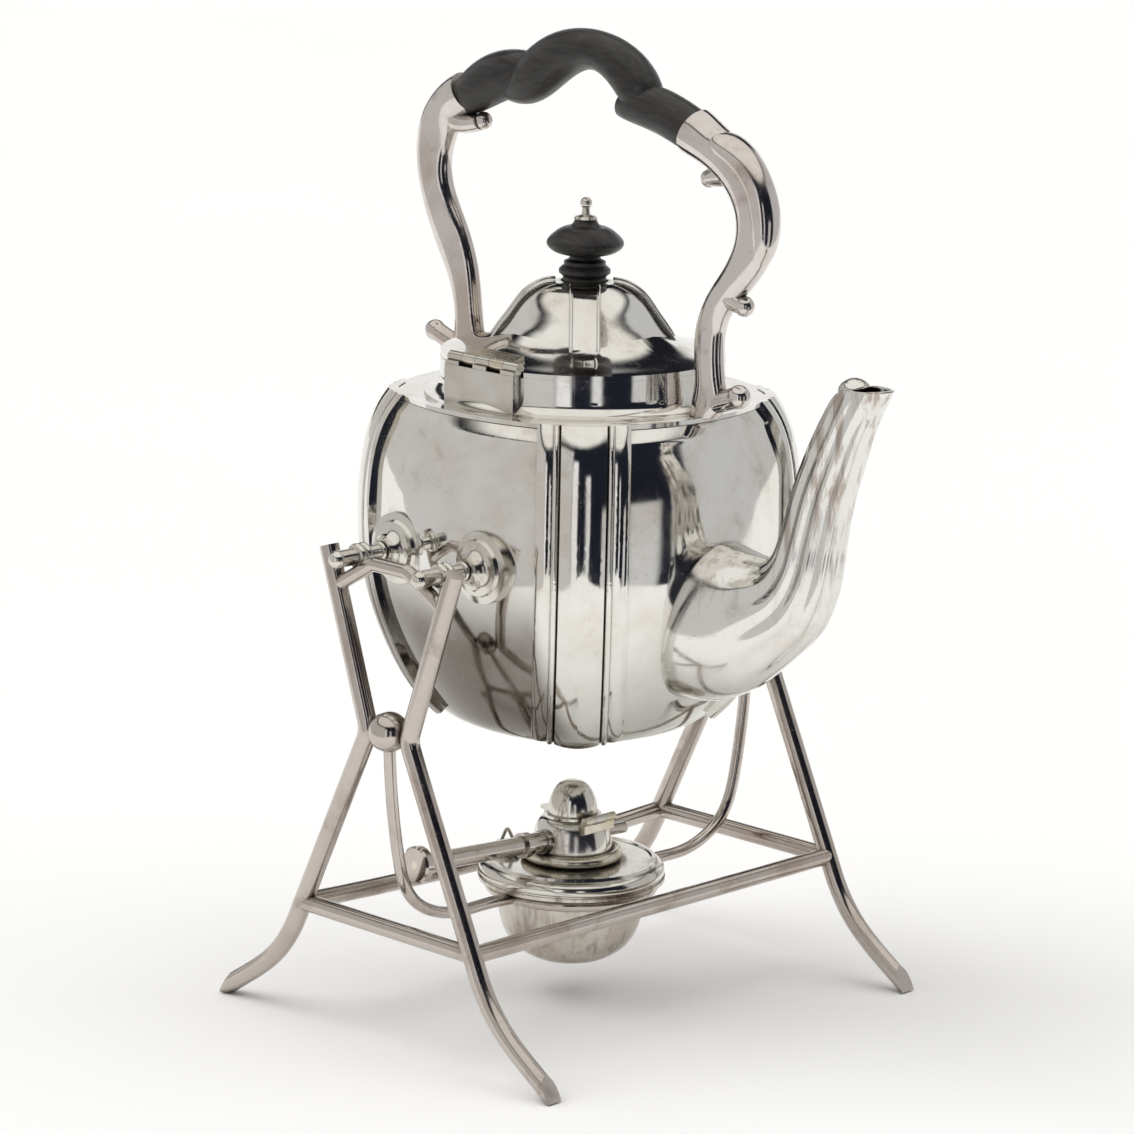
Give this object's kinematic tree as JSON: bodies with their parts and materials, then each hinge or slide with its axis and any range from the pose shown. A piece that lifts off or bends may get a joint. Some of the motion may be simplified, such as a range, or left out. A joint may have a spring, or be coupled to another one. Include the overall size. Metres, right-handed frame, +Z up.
{
  "type": "spirit kettle on stand",
  "caption": "Spirit kettle with a lobed body, hinged lid and S spout, hung by trunnions on an open rod stand over a removable spirit burner",
  "frame": {"origin": "on the table under the middle of the whole kettle and stand", "axes": "+Z up, +X toward the spout, the lid hinge is on the -Y side"},
  "size_m": [0.2111, 0.187, 0.3231],
  "materials": {
    "silver_plate": "polished silver plate, lightly tarnished and scratched",
    "stand_plate": "worn silver plate with a warm brown bloom",
    "worn_brass": "brass showing through worn silver plate",
    "ebonised_wood": "black stained hardwood, satin wax",
    "cotton": "woven cotton wick"
  },
  "bodies": {
    "stand": {"cradle_arm_left": "stand_plate", "cradle_arm_right": "stand_plate", "cradle_ring": "stand_plate", "end_stretcher_left": "stand_plate", "end_stretcher_right": "stand_plate", "frame_ball_left": "stand_plate", "frame_ball_right": "stand_plate", "leg_back_left": "stand_plate", "leg_back_right": "stand_plate", "leg_front_left": "stand_plate", "leg_front_right": "stand_plate", "saddle_left": "stand_plate", "saddle_right": "stand_plate", "stretcher_back": "stand_plate", "stretcher_front": "stand_plate"},
    "front_trunnions": {"trunnion_pin_front_left": "silver_plate", "trunnion_pin_front_right": "silver_plate"},
    "kettle": {"handle_bracket_front": "silver_plate", "handle_bracket_rear": "silver_plate", "handle_grip": "ebonised_wood", "hinge_housing": "worn_brass", "hinge_pin": "worn_brass", "kettle_body": "silver_plate", "shoulder_neck": "silver_plate", "spout": "silver_plate", "trunnion_boss_back_left": "silver_plate", "trunnion_boss_back_right": "silver_plate", "trunnion_boss_front_left": "silver_plate", "trunnion_boss_front_right": "silver_plate", "trunnion_pin_back_left": "silver_plate", "trunnion_pin_back_right": "silver_plate"},
    "lid": {"finial_knob": "ebonised_wood", "finial_nut": "silver_plate", "finial_stud": "silver_plate", "hinge_leaf": "worn_brass", "lid": "silver_plate"},
    "burner": {"burner_collar": "worn_brass", "burner_reservoir": "silver_plate", "burner_top": "silver_plate", "filler_neck": "worn_brass", "snuffer_hinge_base": "worn_brass", "snuffer_hinge_pin": "worn_brass", "spindle_end_bush": "worn_brass", "spindle_ferrule": "stand_plate", "spindle_tube": "stand_plate", "wick_dome": "silver_plate", "wick_tube": "worn_brass"},
    "snuffer": {"snuffer_cap": "silver_plate"},
    "spindle": {"wick_spindle": "worn_brass", "spindle_knob": "worn_brass"},
    "wick": {"wick": "cotton"},
    "filler": {"filler_cap": "silver_plate", "filler_loop": "silver_plate"}
  },
  "joints": [
    {"name": "kettle_lift", "type": "slide", "parent": "stand", "child": "front_trunnions", "axis": [0, 0, 1], "range_m": [0, 0.08]},
    {"name": "kettle_tilt", "type": "hinge", "parent": "front_trunnions", "child": "kettle", "pos_m": [-0.0086, 0, 0.15835], "axis": [0, 1, 0], "range_deg": [0, 45]},
    {"name": "lid_hinge", "type": "hinge", "parent": "kettle", "child": "lid", "pos_m": [-0.0275, -0.0446, 0.2194], "axis": [1, 0, 0], "range_deg": [0, 105]},
    {"name": "burner_lift", "type": "slide", "parent": "stand", "child": "burner", "axis": [0, 0, 1], "range_m": [0, 0.012]},
    {"name": "snuffer_hinge", "type": "hinge", "parent": "burner", "child": "snuffer", "pos_m": [-0.0153, 0, 0.0624], "axis": [0, 1, 0], "range_deg": [0, 135]},
    {"name": "spindle_turn", "type": "hinge", "parent": "burner", "child": "spindle", "pos_m": [-0.0275, 0, 0.0538], "axis": [0, -0.9983, 0.0576], "range_deg": [0, 120]},
    {"name": "wick_feed", "type": "slide", "parent": "burner", "child": "wick", "axis": [0, 0, 1], "range_m": [0, 0.004]},
    {"name": "filler_pull", "type": "slide", "parent": "burner", "child": "filler", "axis": [0, 0, 1], "range_m": [0, 0.012]}
  ],
  "couplings": [
    {"joint": "wick_feed", "follows": "spindle_turn", "m_per_rad": 0.0019}
  ]
}
